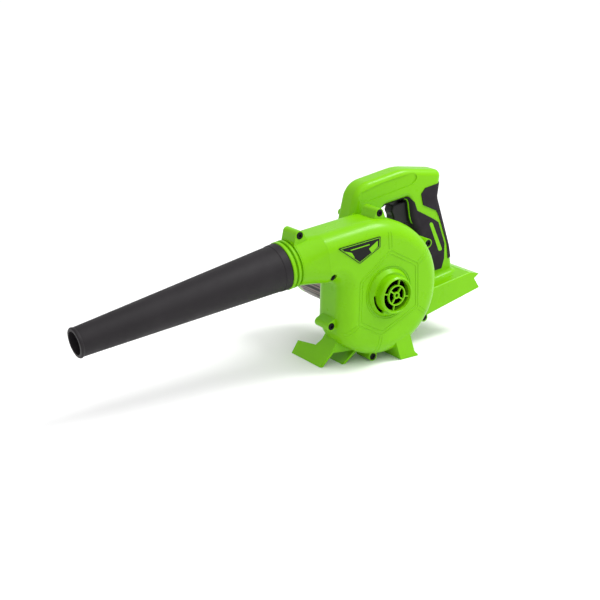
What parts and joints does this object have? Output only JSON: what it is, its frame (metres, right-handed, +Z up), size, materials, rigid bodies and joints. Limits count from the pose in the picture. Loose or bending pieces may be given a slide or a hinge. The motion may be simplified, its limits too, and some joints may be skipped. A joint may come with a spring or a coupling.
{
  "type": "leaf blower",
  "caption": "Cordless hand-held leaf blower: snail-shell fan housing with side inlet, tapered black nozzle, D-handle with soft grip and a battery foot.",
  "frame": {"origin": "middle of the bounding box on the floor that the feet stand on", "axes": "+Z up, nozzle towards -X and about 9 degrees nose down, air inlet faces -Y, battery foot towards +X"},
  "size_m": [0.57, 0.169, 0.2231],
  "materials": {
    "green_shell": "bright lime-green moulded plastic, light satin gloss",
    "black_tube": "near-black moulded plastic, fine matt grain",
    "soft_grip": "near-black soft overmoulding",
    "black_plastic": "black moulded plastic",
    "black_screw": "black coated steel",
    "badge": "blank black badge with lime panels",
    "label": "blank printed film label",
    "steel": "bright steel",
    "zinc_steel": "zinc plated sheet steel",
    "magnet": "dark grey ferrite",
    "lamination": "varnished laminations",
    "copper": "enamelled copper wire",
    "brass": "pressed brass",
    "carbon": "graphite",
    "rubber": "soft black rubber",
    "circuit_board": "green solder mask with dark components",
    "red_wire": "insulated cable"
  },
  "bodies": {
    "housing": {"fan_housing_left": "green_shell", "fan_housing_right": "green_shell", "housing_screws": "black_screw", "inlet_guard": "green_shell", "badge_plate": "badge", "handle_shell_left": "green_shell", "handle_shell_right": "green_shell", "motor_end_cover": "green_shell", "front_grip_pad": "soft_grip", "rear_grip_pad": "soft_grip", "grip_insets": "green_shell", "motor_can": "zinc_steel", "motor_magnets": "magnet", "front_bearing": "steel", "rear_bearing": "steel", "motor_end_bell": "black_plastic", "brush_holders": "brass", "carbon_brushes": "carbon", "motor_gasket": "rubber", "switch_module": "black_plastic", "terminal_block": "black_plastic", "battery_contacts": "brass", "control_board": "circuit_board", "battery_leads": "red_wire", "motor_leads": "red_wire", "motor_label": "label", "handle_screws": "black_screw", "flange_screws": "black_screw", "motor_screws": "black_screw", "cover_screws": "black_screw", "trigger_spring": "steel"},
    "fan_rotor": {"motor_shaft": "steel", "armature_core": "lamination", "armature_windings": "copper", "commutator": "copper", "impeller": "black_plastic", "impeller_nut": "steel"},
    "trigger": {"trigger": "black_plastic"},
    "nozzle": {"nozzle_tube": "black_tube"}
  },
  "joints": [
    {"name": "fan_spin", "type": "hinge", "parent": "housing", "child": "fan_rotor", "pos_m": [0.11019, -0.0355, 0.0916], "axis": [0, 1, 0], "continuous": true},
    {"name": "trigger_pull", "type": "slide", "parent": "housing", "child": "trigger", "axis": [0.9877, 0, 0.1564], "range_m": [0, 0.007], "stiffness_N_per_m": 600, "springref_m": -0.004, "deforming": ["trigger_spring"]},
    {"name": "nozzle_release", "type": "slide", "parent": "housing", "child": "nozzle", "axis": [-0.9877, 0, -0.1564], "range_m": [0, 0.045]}
  ]
}
